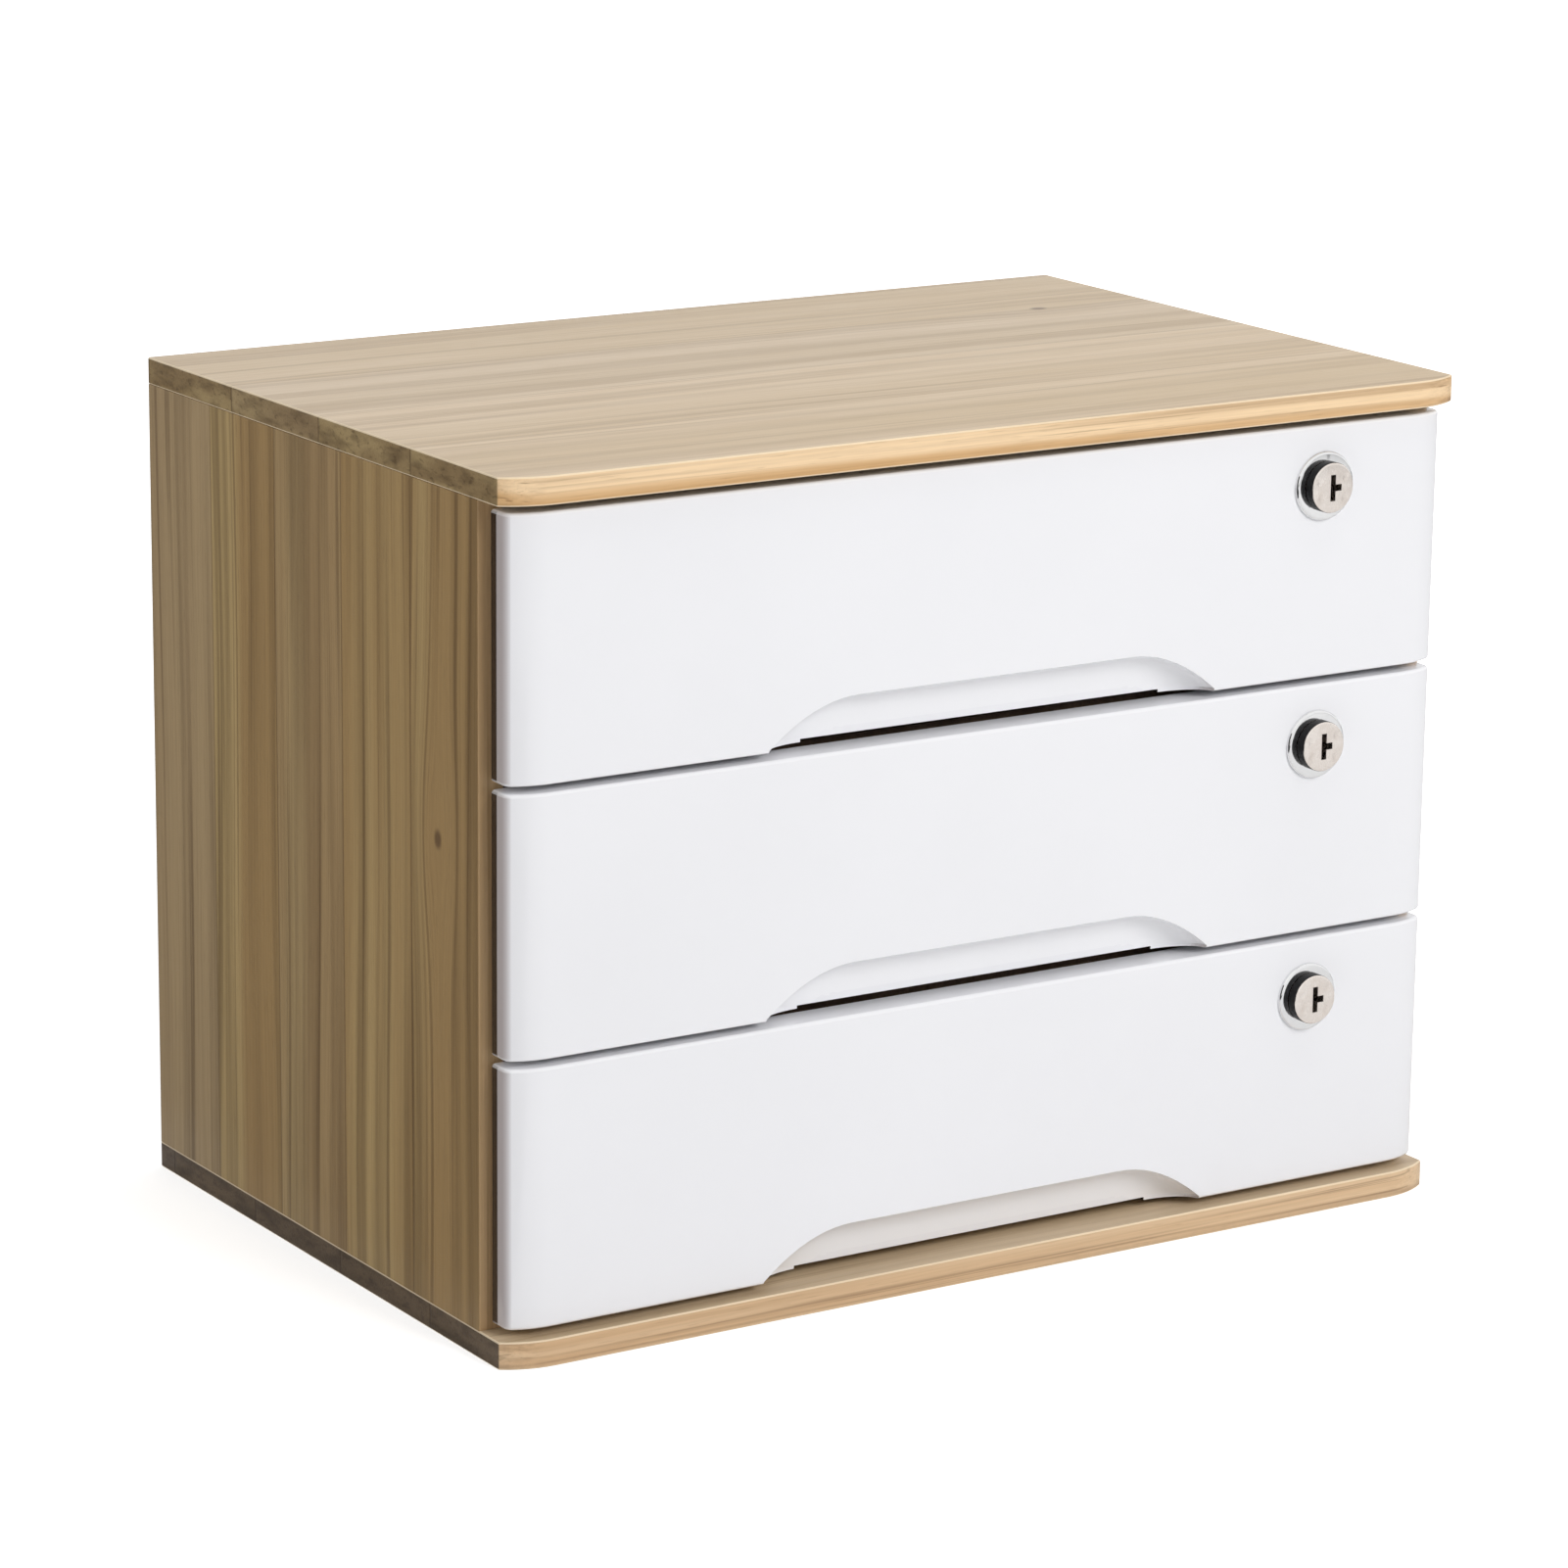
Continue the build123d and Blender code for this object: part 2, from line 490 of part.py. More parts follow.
def drawer_tray():
    """Moulded tray with leaning walls, a rim, glide ribs below and a taller wall behind the front."""
    wall_half = TRAY_HALF_WIDTH - RIM_WIDTH
    wall_rear = TRAY_REAR_Y - RIM_WIDTH
    low = tray_plan(wall_half - TRAY_DRAFT, FRONT_BACK_Y, wall_rear - TRAY_DRAFT, 0, TRAY_REAR_CORNER)
    high = tray_plan(wall_half, FRONT_BACK_Y, wall_rear, 0, TRAY_REAR_CORNER)
    body = loft([Pos(0, 0, TRAY_LOW_Z) * low, Pos(0, 0, TRAY_RIM_Z) * high], ruled=True)
    rim = tray_plan(TRAY_HALF_WIDTH, FRONT_BACK_Y, TRAY_REAR_Y, 0, TRAY_REAR_CORNER + RIM_WIDTH)
    body += Pos(0, 0, TRAY_RIM_Z - RIM_HEIGHT) * extrude(rim, RIM_HEIGHT)
    upstand_half = wall_half - 2 * RIM_WIDTH
    upstand = box((-upstand_half, FRONT_BACK_Y, TRAY_LOW_Z + TRAY_FLOOR),
                  (upstand_half, TRAY_INSIDE_Y, TRAY_FRONT_TOP_Z))
    upstand = fillet(upstand.edges().filter_by(Axis.Y).group_by(Axis.Z)[-1], RIM_HEIGHT)
    body += upstand

    floor_z = TRAY_LOW_Z + TRAY_FLOOR
    cavity_low = tray_plan(wall_half - TRAY_WALL - TRAY_DRAFT, TRAY_INSIDE_Y, wall_rear - TRAY_WALL - TRAY_DRAFT,
                           TRAY_FRONT_CORNER, TRAY_REAR_CORNER - TRAY_WALL)
    cavity_high = tray_plan(wall_half - TRAY_WALL, TRAY_INSIDE_Y, wall_rear - TRAY_WALL,
                            TRAY_FRONT_CORNER, TRAY_REAR_CORNER - TRAY_WALL)
    cavity = loft([Pos(0, 0, floor_z) * cavity_low, Pos(0, 0, TRAY_RIM_Z) * cavity_high], ruled=True)
    cavity = fillet(cavity.edges().group_by(Axis.Z)[0], TRAY_FLOOR_ROUND)
    body -= cavity

    for share in GLIDE_SHARES:
        x = share * TRAY_HALF_WIDTH
        rib = box((x - GLIDE_WIDTH / 2, FRONT_BACK_Y + GLIDE_END_MARGIN, TRAY_LOW_Z - GLIDE_HEIGHT),
                  (x + GLIDE_WIDTH / 2, wall_rear - GLIDE_END_MARGIN, TRAY_LOW_Z))
        body += fillet(rib.edges().filter_by(Axis.Z), GLIDE_WIDTH / 3)
    body -= lock_hole(FRONT_BACK_Y - 1, TRAY_INSIDE_Y + 1)
    for x, z in screw_places():
        body -= small_rod(SCREW_RADIUS + SCREW_HOLE_CLEARANCE, FRONT_BACK_Y - 1, TRAY_INSIDE_Y + 1, x, z)
    return body


def front_screws():
    """Pan-head screws through the tray's front wall into the front's bosses."""
    screws = []
    for x, z in screw_places():
        head = small_rod(SCREW_HEAD_RADIUS, TRAY_INSIDE_Y, TRAY_INSIDE_Y + SCREW_HEAD, x, z)
        head = chamfer(head.edges().group_by(Axis.Y)[-1], SCREW_HEAD / 2)
        tip_y = FRONT_BACK_Y - SCREW_GRIP + SCREW_TIP_SPACE
        screws.append(head + small_rod(SCREW_RADIUS, tip_y, TRAY_INSIDE_Y, x, z))
    return Compound(screws)


# ---- lock ----------------------------------------------------------------------------------------------------
def lock_housing():
    """Head with a rounded rim, and a flatted body that runs through the front and the tray."""
    head = rod(HEAD_RADIUS, HEAD_FRONT_Y, FACE_Y, LOCK_X, LOCK_Z)
    head = fillet(head.edges().group_by(Axis.Y)[0], HEAD_ROUND)
    shape = Pos(LOCK_X, LOCK_Z) * double_d(BODY_RADIUS, BODY_FLATS)
    body = extrude(elevation(shape, HOUSING_REAR_Y), HOUSING_REAR_Y - FACE_Y)
    bore = rod(BARREL_RADIUS + BARREL_CLEARANCE, HEAD_FRONT_Y - 1, HOUSING_REAR_Y + 1, LOCK_X, LOCK_Z)
    return head + body - bore


def lock_nut():
    """Hexagon nut on the housing, against the tray's front wall."""
    hexagon = Rot(0, 0, 30) * RegularPolygon(NUT_ACROSS_FLATS / 2, 6, major_radius=False)
    shape = hexagon - double_d(BODY_RADIUS + NUT_CLEARANCE, BODY_FLATS + 2 * NUT_CLEARANCE)
    return extrude(elevation(Pos(LOCK_X, LOCK_Z) * shape, NUT_REAR_Y), NUT_THICKNESS)


def lock_plug():
    """Turning plug: rounded nose with the keyway, barrel in the housing, tail and square tang for the cam."""
    nose = rod(NOSE_RADIUS, NOSE_FRONT_Y, NOSE_REAR_Y, LOCK_X, LOCK_Z)
    nose = fillet(nose.edges().group_by(Axis.Y)[0], NOSE_ROUND)
    barrel = rod(BARREL_RADIUS, NOSE_REAR_Y, HOUSING_REAR_Y, LOCK_X, LOCK_Z)
    tail = rod(TAIL_RADIUS, HOUSING_REAR_Y, CAM_Y, LOCK_X, LOCK_Z)
    half = TANG_SIDE / 2
    tang = box((LOCK_X - half, CAM_Y, LOCK_Z - half), (LOCK_X + half, CAM_REAR_Y, LOCK_Z + half))
    slot = Rectangle(KEYWAY_WIDTH, KEYWAY_HEIGHT)
    slot += Pos(WARD_REACH / 2, 0) * Rectangle(WARD_REACH, WARD_HEIGHT)
    keyway = extrude(elevation(Pos(LOCK_X, LOCK_Z) * slot, NOSE_FRONT_Y + KEYWAY_DEPTH), KEYWAY_DEPTH + 1)
    thread = rod(CAM_SCREW_RADIUS, CAM_REAR_Y - CAM_SCREW_LENGTH, CAM_REAR_Y + 1, LOCK_X, LOCK_Z)
    return nose + barrel + tail + tang - keyway - thread


def lock_cam():
    """Flat cam on the tang, level at rest, with its arm towards the middle of the drawer."""
    arm_round = CAM_ARM_WIDTH / 2 - 0.5
    arm = Pos(-CAM_REACH / 2, 0) * Rectangle(CAM_REACH, CAM_ARM_WIDTH)
    arm = fillet(arm.vertices().group_by(Axis.X)[0], arm_round)
    shape = Circle(CAM_HUB_RADIUS) + arm - Rectangle(TANG_SIDE, TANG_SIDE)
    return extrude(elevation(Pos(LOCK_X, LOCK_Z) * shape, CAM_REAR_Y), CAM_THICKNESS)


def lock_cam_screw():
    """Screw that holds the cam on the plug."""
    head = rod(CAM_SCREW_HEAD_RADIUS, CAM_REAR_Y, CAM_REAR_Y + CAM_SCREW_HEAD, LOCK_X, LOCK_Z)
    head = fillet(head.edges().group_by(Axis.Y)[-1], CAM_SCREW_HEAD / 2)
    slot_size = (2 * CAM_SCREW_HEAD_RADIUS, CAM_SCREW_SLOT, CAM_SCREW_SLOT)
    slot = Pos(LOCK_X, CAM_REAR_Y + CAM_SCREW_HEAD, LOCK_Z) * Box(*slot_size)
    tip_y = CAM_REAR_Y - CAM_SCREW_LENGTH + SCREW_TIP_SPACE
    return head - slot + rod(CAM_SCREW_RADIUS, tip_y, CAM_REAR_Y, LOCK_X, LOCK_Z)


# ---- all the pieces ------------------------------------------------------------------------------------------
pieces = {
    "top_board": bored_for_strikes(plate(CABINET_HEIGHT - BOARD_THICKNESS, CABINET_HEIGHT - BOARD_THICKNESS, -1),
                                   len(LEVELS) - 1),
    "bottom_board": plate(0, BOARD_THICKNESS, 1),
    "left_side_board": side_board(-1),
    "right_side_board": side_board(1),
    "back_panel": nailed(back_space(), lambda x, z: True),
    "back_panel_brads": Compound(brads()),
    "cabinet_dowels": cabinet_dowels(),
    "strike_screws": strike_screws(),
}
for index, level in enumerate(LEVELS):
    if index > 0:
        under = LEVELS[index - 1]
        pieces[f"shelf_over_{under}_drawer"] = bored_for_strikes(shelf(index), index - 1)
    pieces[f"{level}_strike_plate"] = strike_plate(index)

drawer_pieces = {
    "drawer_front": drawer_front(),
    "drawer_tray": drawer_tray(),
    "front_screws": front_screws(),
    "lock_housing": lock_housing(),
    "lock_nut": lock_nut(),
    "lock_plug": lock_plug(),
    "lock_cam": lock_cam(),
    "lock_cam_screw": lock_cam_screw(),
}
for index, level in enumerate(LEVELS):
    for name, shape in drawer_pieces.items():
        pieces[f"{level}_{name}"] = Pos(0, 0, drawer_z(index)) * shape

os.makedirs("parts", exist_ok=True)
for name, shape in pieces.items():
    export_step(shape, f"parts/{name}.step")
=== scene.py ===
import json
import math

import bmesh
import bpy
from mathutils import Matrix, Vector

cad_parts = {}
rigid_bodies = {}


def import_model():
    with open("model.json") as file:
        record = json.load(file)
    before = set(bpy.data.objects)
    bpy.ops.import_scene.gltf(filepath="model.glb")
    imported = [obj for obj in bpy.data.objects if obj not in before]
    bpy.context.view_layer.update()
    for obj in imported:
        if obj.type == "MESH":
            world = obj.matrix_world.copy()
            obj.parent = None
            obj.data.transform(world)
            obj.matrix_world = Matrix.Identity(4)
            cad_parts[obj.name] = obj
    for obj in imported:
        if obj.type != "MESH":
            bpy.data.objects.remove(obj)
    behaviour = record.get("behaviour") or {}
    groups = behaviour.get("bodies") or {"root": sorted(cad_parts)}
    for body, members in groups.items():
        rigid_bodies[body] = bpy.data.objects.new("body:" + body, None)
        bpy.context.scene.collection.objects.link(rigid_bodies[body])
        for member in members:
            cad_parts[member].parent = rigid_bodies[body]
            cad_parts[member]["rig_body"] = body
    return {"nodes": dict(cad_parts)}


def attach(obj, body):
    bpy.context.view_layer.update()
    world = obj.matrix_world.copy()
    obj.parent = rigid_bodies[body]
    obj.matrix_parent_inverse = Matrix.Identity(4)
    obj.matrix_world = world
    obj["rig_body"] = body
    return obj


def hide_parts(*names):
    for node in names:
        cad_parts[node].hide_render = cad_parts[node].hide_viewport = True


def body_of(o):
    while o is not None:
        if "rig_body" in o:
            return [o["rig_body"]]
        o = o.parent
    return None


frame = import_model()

# Dresses the desktop file drawer: wooden cabinet, white drawers with finger scoops, and bright cam locks.
# Metres, +Z up, the drawers open towards -Y. A merged, smoothly shaded copy stands for every CAD node, with
# attributes that its material reads.

# ---- camera, from the photograph ----------------------------------------------------------------------
CAMERA_AZIMUTH = -32.336
CAMERA_ELEVATION = 14.230
CAMERA_ROLL = 0.636
CAMERA_DISTANCE = 1.85661
CAMERA_TARGET = Vector((-0.028501, -0.034967, 0.150))
CAMERA_LENS = 130.47
SENSOR_WIDTH = 36.0

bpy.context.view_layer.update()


# ---- shader building ----------------------------------------------------------------------------------
class Net:
    """Adds nodes to a tree. An input given as a socket is linked, and any other value is set."""

    def __init__(self, tree):
        self.tree = tree

    def add(self, kind, props=None, **inputs):
        node = self.tree.nodes.new(kind)
        for name, value in (props or {}).items():
            setattr(node, name, value)
        for name, value in inputs.items():
            self.feed(node.inputs[name.replace("_", " ")], value)
        return node

    def feed(self, socket, value):
        if isinstance(value, bpy.types.NodeSocket):
            self.tree.links.new(value, socket)
        else:
            socket.default_value = value

    def math(self, operation, *values):
        node = self.add("ShaderNodeMath", {"operation": operation})
        for socket, value in zip(node.inputs, values):
            self.feed(socket, value)
        return node.outputs[0]

    def vector_math(self, operation, *values):
        node = self.add("ShaderNodeVectorMath", {"operation": operation})
        for socket, value in zip(node.inputs, values):
            self.feed(socket, value)
        return node.outputs["Value" if operation in ("LENGTH", "DOT_PRODUCT") else "Vector"]

    def split(self, vector):
        return self.add("ShaderNodeSeparateXYZ", Vector=vector).outputs

    def noise(self, vector, scale, detail=2.0, roughness=0.5, distortion=0.0):
        """Noise of the vector times scale, which may be a number or one number for each axis."""
        if isinstance(scale, tuple):
            vector, scale = self.vector_math("MULTIPLY", vector, scale), 1.0
        node = self.add("ShaderNodeTexNoise", Vector=vector, Scale=scale, Detail=detail,
                        Roughness=roughness, Distortion=distortion)
        return node.outputs["Fac"]

    def spread(self, value, low, high, to_low=0.0, to_high=1.0, smooth=False):
        kind = "SMOOTHSTEP" if smooth else "LINEAR"
        node = self.add("ShaderNodeMapRange", {"interpolation_type": kind}, Value=value, From_Min=low,
                        From_Max=high, To_Min=to_low, To_Max=to_high)
        return node.outputs["Result"]

    def mix(self, factor, first, second, share=1.0):
        """Blend of two colours, each a socket or three numbers. share scales the factor."""
        if share != 1.0:
            factor = self.math("MULTIPLY", factor, share)
        node = self.add("ShaderNodeMix", {"data_type": "RGBA"})
        for index, value in ((0, factor), (6, first), (7, second)):
            self.feed(node.inputs[index], (*value, 1) if isinstance(value, tuple) else value)
        return node.outputs[2]

    def attribute(self, name, output="Fac"):
        return self.add("ShaderNodeAttribute", {"attribute_name": name}).outputs[output]

    def bump(self, height, distance, strength=1.0, normal=None):
        node = self.add("ShaderNodeBump", Strength=strength, Distance=distance, Height=height)
        if normal is not None:
            self.feed(node.inputs["Normal"], normal)
        return node.outputs["Normal"]


def new_group(name, inputs, outputs):
    """Empty shader group; inputs are (name, kind, default) and outputs are names of values."""
    tree = bpy.data.node_groups.new(name, "ShaderNodeTree")
    for label, kind, default in inputs:
        socket = tree.interface.new_socket(label, in_out="INPUT", socket_type=kind)
        if default is not None:
            socket.default_value = default
    for label in outputs:
        tree.interface.new_socket(label, in_out="OUTPUT", socket_type="NodeSocketFloat")
    net = Net(tree)
    return net, net.add("NodeGroupInput").outputs, net.add("NodeGroupOutput")


# ---- the wood's figure --------------------------------------------------------------------------------
# Scales of the marks along, across and through a board, and the noise values between which each fades in.
BROAD_SCALE, BROAD_FADE = (0.9, 30.0, 110.0), (0.36, 0.64)
STREAK_SCALE, STREAK_FADE = (1.8, 95.0, 300.0), (0.42, 0.68)
LINE_SCALE, LINE_FADE = (2.6, 300.0, 700.0), (0.56, 0.70)
FIBRE_SCALE, FIBRE_FADE = (22.0, 1300.0, 1300.0), (0.40, 0.75)
PORE_SCALE, PORE_FADE = (85.0, 2100.0, 2100.0), (0.64, 0.78)
SWAY_SCALE = (3.4, 11.0, 11.0)
SEAM_FADE = (0.487, 0.498)          # shares of a stave's width, from its middle
STAVE_SHIFT = (3.0, 0.02, 0.11)     # how far apart in the log the staves may be
KNOT_NEARNESS = (30.0, 95.0, 40.0)  # how fast the knot's push fades along, across and through a board
KNOT_DECAY = 0.37                   # share of the push that is left at a distance of one in those scales
KNOT_PUSH = -0.8
KNOT_OVAL = (0.8, 1.1, 1.0)
KNOT_FADE = (0.0034, 0.0012)        # from the knot's rim to its dark middle


def wood_figure():
    """Solid figure of glued staves with their grain along X, which runs round one small knot."""
    net, given, out = new_group(
        "wood_figure",
        [("Vector", "NodeSocketVector", None), ("Knot", "NodeSocketVector", None),
         ("Stave Width", "NodeSocketFloat", 0.045), ("Sway", "NodeSocketFloat", 0.010)],
        ["Broad", "Streak", "Line", "Fibre", "Pore", "Tone", "Seam", "Knot"])
    place = given["Vector"]
    across = net.math("DIVIDE", net.split(place)["Y"], given["Stave Width"])
    within = net.math("ABSOLUTE", net.math("SUBTRACT", net.math("FRACT", across), 0.5))
    stave = net.math("FLOOR", across)
    chance = net.add("ShaderNodeTexWhiteNoise", {"noise_dimensions": "1D"}, W=stave).outputs

    # The knot pushes the grain aside.
    away = net.vector_math("SUBTRACT", place, given["Knot"])
    flat = net.vector_math("MULTIPLY", away, KNOT_NEARNESS)
    near = net.math("POWER", KNOT_DECAY, net.vector_math("DOT_PRODUCT", flat, flat))
    pushed = net.math("MULTIPLY", net.math("MULTIPLY", net.split(away)["Y"], near), KNOT_PUSH)
    knot_size = net.vector_math("LENGTH", net.vector_math("MULTIPLY", away, KNOT_OVAL))

    shift = net.vector_math("MULTIPLY", chance["Color"], STAVE_SHIFT)
    own = net.vector_math("ADD", place, shift)
    swing = net.math("SUBTRACT", net.noise(own, SWAY_SCALE, 1.0), 0.5)
    sway = net.math("MULTIPLY", swing, given["Sway"])
    moved = net.add("ShaderNodeCombineXYZ", Y=net.math("ADD", pushed, sway)).outputs["Vector"]
    grain = net.vector_math("ADD", own, moved)

    streak = net.noise(grain, STREAK_SCALE, 3.0, 0.55, 0.2)
    line = net.noise(grain, LINE_SCALE, 2.0, 0.5, 0.2)
    fibre = net.noise(grain, FIBRE_SCALE, 3.0, 0.6)
    dash = net.noise(grain, PORE_SCALE, 1.0)
    broad = net.noise(grain, BROAD_SCALE, 2.0, 0.5)
    values = {
        "Broad": net.spread(broad, *BROAD_FADE, smooth=True),
        "Streak": net.spread(streak, *STREAK_FADE, smooth=True),
        "Line": net.spread(line, *LINE_FADE, smooth=True),
        "Fibre": net.spread(fibre, *FIBRE_FADE),
        "Pore": net.spread(dash, *PORE_FADE),
        "Tone": chance["Value"],
        "Seam": net.spread(within, *SEAM_FADE),
        "Knot": net.spread(knot_size, *KNOT_FADE, smooth=True),
    }
    for label, value in values.items():
        net.feed(out.inputs[label], value)
    return net.tree


# ---- tones --------------------------------------------------------------------------------------------
# Four tones for each cut of wood: light, warm, grey stave and deep mark.
SIDE_FACE = ((0.49, 0.35, 0.16), (0.38, 0.245, 0.105), (0.385, 0.28, 0.17), (0.085, 0.045, 0.017))
TOP_FACE = ((0.66, 0.52, 0.36), (0.59, 0.455, 0.295), (0.57, 0.47, 0.355), (0.36, 0.25, 0.14))
# front edges (BAND, BASE_BAND, EDGE) are lighter: partly their own tone, partly painted light from the
# front
BAND = ((0.93, 0.69, 0.43), (0.66, 0.40, 0.18), (0.84, 0.61, 0.39), (0.16, 0.06, 0.01))
BASE_BAND = ((0.78, 0.57, 0.36), (0.66, 0.44, 0.25), (0.69, 0.52, 0.40), (0.22, 0.12, 0.06))
SAWN = ((0.40, 0.29, 0.14), (0.28, 0.19, 0.09), (0.32, 0.23, 0.14), (0.07, 0.04, 0.016))
BASE_SAWN = ((0.14, 0.095, 0.055), (0.10, 0.068, 0.038), (0.12, 0.083, 0.055), (0.035, 0.02, 0.01))
EDGE = ((0.68, 0.48, 0.27), (0.60, 0.40, 0.21), (0.60, 0.44, 0.29), (0.30, 0.18, 0.08))
PLY = ((0.66, 0.53, 0.37), (0.60, 0.47, 0.31), (0.58, 0.49, 0.37), (0.46, 0.34, 0.20))
# How much of the deep tone each mark brings in, and of the grey tone the greyest stave.
DEEP_SHARES = {"Streak": 0.45, "Line": 0.45, "Fibre": 0.16, "Pore": 0.22, "Seam": 0.50}
GREY_SHARE = 0.75
# painted highlight along the boards' rounded edges
EDGE_HIGHLIGHT_WOOD = (0.95, 0.80, 0.58)
KNOT_WOOD = (0.10, 0.055, 0.03)
# painted highlight along the plastic's rounded edges
EDGE_HIGHLIGHT_WHITE = (0.95, 0.95, 0.96)
# painted shade: the fronts' ends, which look away from the lamps, are greyer than their faces
FRONT_END_PAINTED_SHADE = (0.58, 0.52, 0.50)  # of the fronts' white, on their ends
# painted shadow of the gap behind the fronts, on the rear of their ends
GAP_PAINTED_SHADOW = (0.02, 0.012, 0.01)
# painted shade in the screws' crossed slots
SLOT_PAINTED_SHADE = (0.015, 0.013, 0.012)


# ---- materials ----------------------------------------------------------------------------------------
def new_material(name):
    material = bpy.data.materials.new(name)
    material.use_nodes = True
    net = Net(material.node_tree)
    return material, net, material.node_tree.nodes["Principled BSDF"]


def wood_colour(net, grain, light, warm, grey, deep):
    """Colour of one kind of cut, from the figure's masks. Some staves are greyer, and marks are deeper."""
    base = net.mix(grain["Broad"], light, warm)
    base = net.mix(net.spread(grain["Tone"], 0.35, 1.0), base, grey, GREY_SHARE)
    for mark, share in DEEP_SHARES.items():
        base = net.mix(grain[mark], base, deep, share)
    return base


def board_wood(name, figure, turn, shift, knot, face, front, end, seams=0.045, sway=0.010):
    """Lacquered board. turn lays the grain along the board, and shift picks another part of the log.

    face, front and end are the tones of the broad faces, the front edge and the sawn ends.
    """
    material, net, shader = new_material(name)
    place = net.add("ShaderNodeTexCoord").outputs["Object"]
    laid = net.add("ShaderNodeMapping", Vector=place, Location=shift, Rotation=turn).outputs["Vector"]
    placed = net.add("ShaderNodeGroup", {"node_tree": figure}, Vector=laid, Knot=knot, Stave_Width=seams,
                     Sway=sway)
    grain = placed.outputs
    base = wood_colour(net, grain, *face)
    # partly painted light: the front edges take their lighter tones
    base = net.mix(net.attribute("front_edge"), base, wood_colour(net, grain, *front))
    base = net.mix(net.attribute("sawn_end"), base, wood_colour(net, grain, *end))
    # painted highlight: rounded edges turn pale cream
    base = net.mix(net.attribute("round_edge"), base, EDGE_HIGHLIGHT_WOOD, 0.65)
    base = net.mix(grain["Knot"], base, KNOT_WOOD, 0.72)
    net.feed(shader.inputs["Base Color"], base)
    net.feed(shader.inputs["Roughness"], net.spread(grain["Fibre"], 0.0, 1.0, 0.40, 0.54))
    lift = net.math("SUBTRACT", net.math("MULTIPLY", grain["Fibre"], 0.5), grain["Pore"])
    lift = net.math("SUBTRACT", lift, grain["Seam"])
    net.feed(shader.inputs["Normal"], net.bump(lift, 0.0001, 0.5))
    shader.inputs["Specular IOR Level"].default_value = 0.30
    shader.inputs["Coat Weight"].default_value = 0.06
    shader.inputs["Coat Roughness"].default_value = 0.30
    return material


def hardboard(name, light, deep):
    """Pressed fibre board: short fibres lying in all directions."""
    material, net, shader = new_material(name)
    place = net.add("ShaderNodeTexCoord").outputs["Object"]
    clumps = net.noise(place, 60.0, 4.0, 0.6)
    cells = net.add("ShaderNodeTexVoronoi", {"feature": "F1"}, Vector=place, Scale=900.0)
    flecks = cells.outputs["Distance"]
    base = net.mix(net.spread(clumps, 0.3, 0.7), light, deep)
    base = net.mix(net.spread(flecks, 0.35, 0.75), base, deep, 0.6)
    net.feed(shader.inputs["Base Color"], base)
    net.feed(shader.inputs["Roughness"], net.spread(clumps, 0.3, 0.7, 0.55, 0.75))
    net.feed(shader.inputs["Normal"], net.bump(flecks, 0.0001, 0.4))
    return material


def moulded_plastic(name, color, roughness, coat, grain_depth, rim=None):
    """White moulded plastic with a faint skin, soft clouding and light rubbing in its gloss.

    With a rim, the ends are greyer as painted shade, and black behind y = rim as a painted gap shadow.
    """
    material, net, shader = new_material(name)
    place = net.add("ShaderNodeTexCoord").outputs["Object"]
    cloud = net.noise(place, 14.0, 3.0, 0.5)
    skin = net.noise(place, 900.0, 2.0, 0.5)
    rubbed = net.noise(place, (9.0, 9.0, 30.0), 2.0, 0.4)
    shaded = tuple(value * 0.985 for value in color)
    # painted shade for the fronts' ends
    greyer = tuple(value * share for value, share in zip(color, FRONT_END_PAINTED_SHADE))
    base = net.mix(net.spread(cloud, 0.3, 0.7, smooth=True), color, shaded)
    if rim is not None:
        end = net.attribute("sawn_end")
        base = net.mix(end, base, greyer)
        # painted shadow: the rear of the ends is black, for the shade in the gap behind the fronts
        behind = net.spread(net.split(place)["Y"], rim - RIM_SOFTNESS, rim, smooth=True)
        base = net.mix(net.math("MULTIPLY", behind, end), base, GAP_PAINTED_SHADOW)
    # painted highlight: rounded edges turn whiter
    base = net.mix(net.attribute("round_edge"), base, EDGE_HIGHLIGHT_WHITE, 0.35)
    net.feed(shader.inputs["Base Color"], base)
    net.feed(shader.inputs["Roughness"], net.spread(rubbed, 0.3, 0.7, roughness, roughness + 0.03))
    net.feed(shader.inputs["Normal"], net.bump(skin, grain_depth, 0.35))
    shader.inputs["Coat Weight"].default_value = coat
    shader.inputs["Coat Roughness"].default_value = 0.12
    return material


def metal(name, color, stain, roughness, height=None, distance=0.0002, dark=None):
    """Metal with a cloudy lustre and fine scratches.

    height(net, place) is a relief and dark(net, place) a mask of painted shade, and place is measured from
    the middle of the separate piece.
    """
    material, net, shader = new_material(name)
    place = net.attribute("own_place", "Vector")
    cloud = net.noise(place, 240.0, 3.0, 0.6)
    scratch = net.noise(place, (4000.0, 300.0, 500.0), 2.0, 0.6)
    base = net.mix(net.spread(cloud, 0.35, 0.70), color, stain, 0.8)
    if dark is not None:
        # painted shade in a recess
        base = net.mix(dark(net, place), base, SLOT_PAINTED_SHADE)
    net.feed(shader.inputs["Base Color"], base)
    worn = net.math("MULTIPLY", net.math("ADD", cloud, scratch), 0.5)
    net.feed(shader.inputs["Roughness"], net.spread(worn, 0.3, 0.7, roughness * 0.75, roughness * 1.35))
    fine = net.bump(scratch, 0.00001, 0.3)
    if height is not None:
        fine = net.bump(height(net, place), distance, 1.0, fine)
    net.feed(shader.inputs["Normal"], fine)
    shader.inputs["Metallic"].default_value = 1.0
    return material


THREAD_PITCH = 0.001
THREAD_START = 0.0016           # behind the middle of the housing
